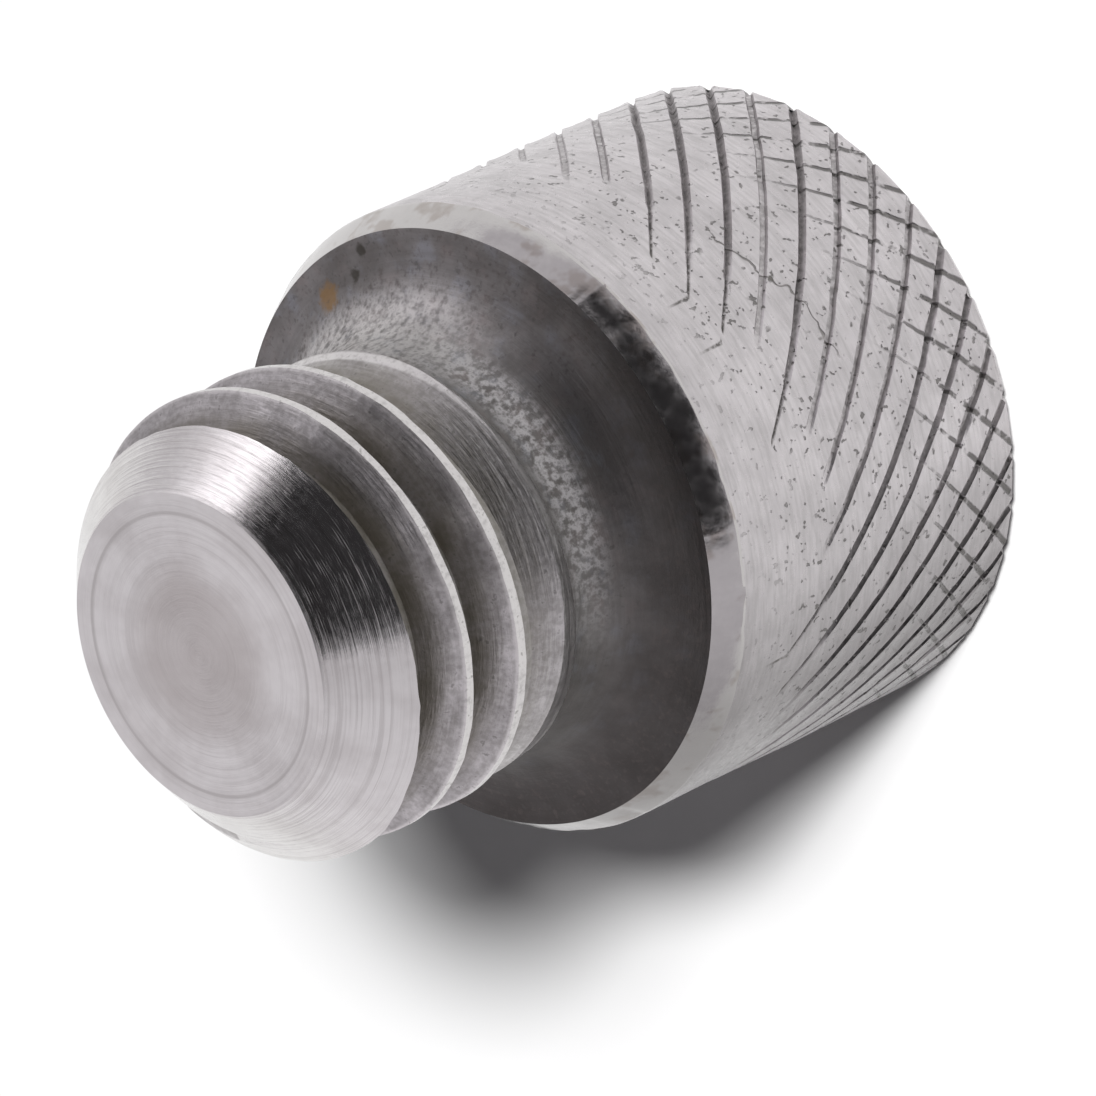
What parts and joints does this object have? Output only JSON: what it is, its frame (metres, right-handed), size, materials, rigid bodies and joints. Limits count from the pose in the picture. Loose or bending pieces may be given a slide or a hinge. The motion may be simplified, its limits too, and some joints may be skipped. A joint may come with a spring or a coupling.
{
  "type": "socket head cap screw",
  "caption": "Short steel cap screw: cylindrical knurled head with a hexagon socket, filleted neck, coarse right-hand thread and chamfered tip.",
  "frame": {"origin": "centre of the head's end face, which the screw stands on", "axes": "+Z along the screw's axis, from the head to the tip of the thread"},
  "size_m": [0.0112, 0.0112, 0.0144],
  "materials": {
    "steel": "satin turned steel, slightly pitted"
  },
  "bodies": {
    "root": {"screw": "steel"}
  },
  "joints": []
}
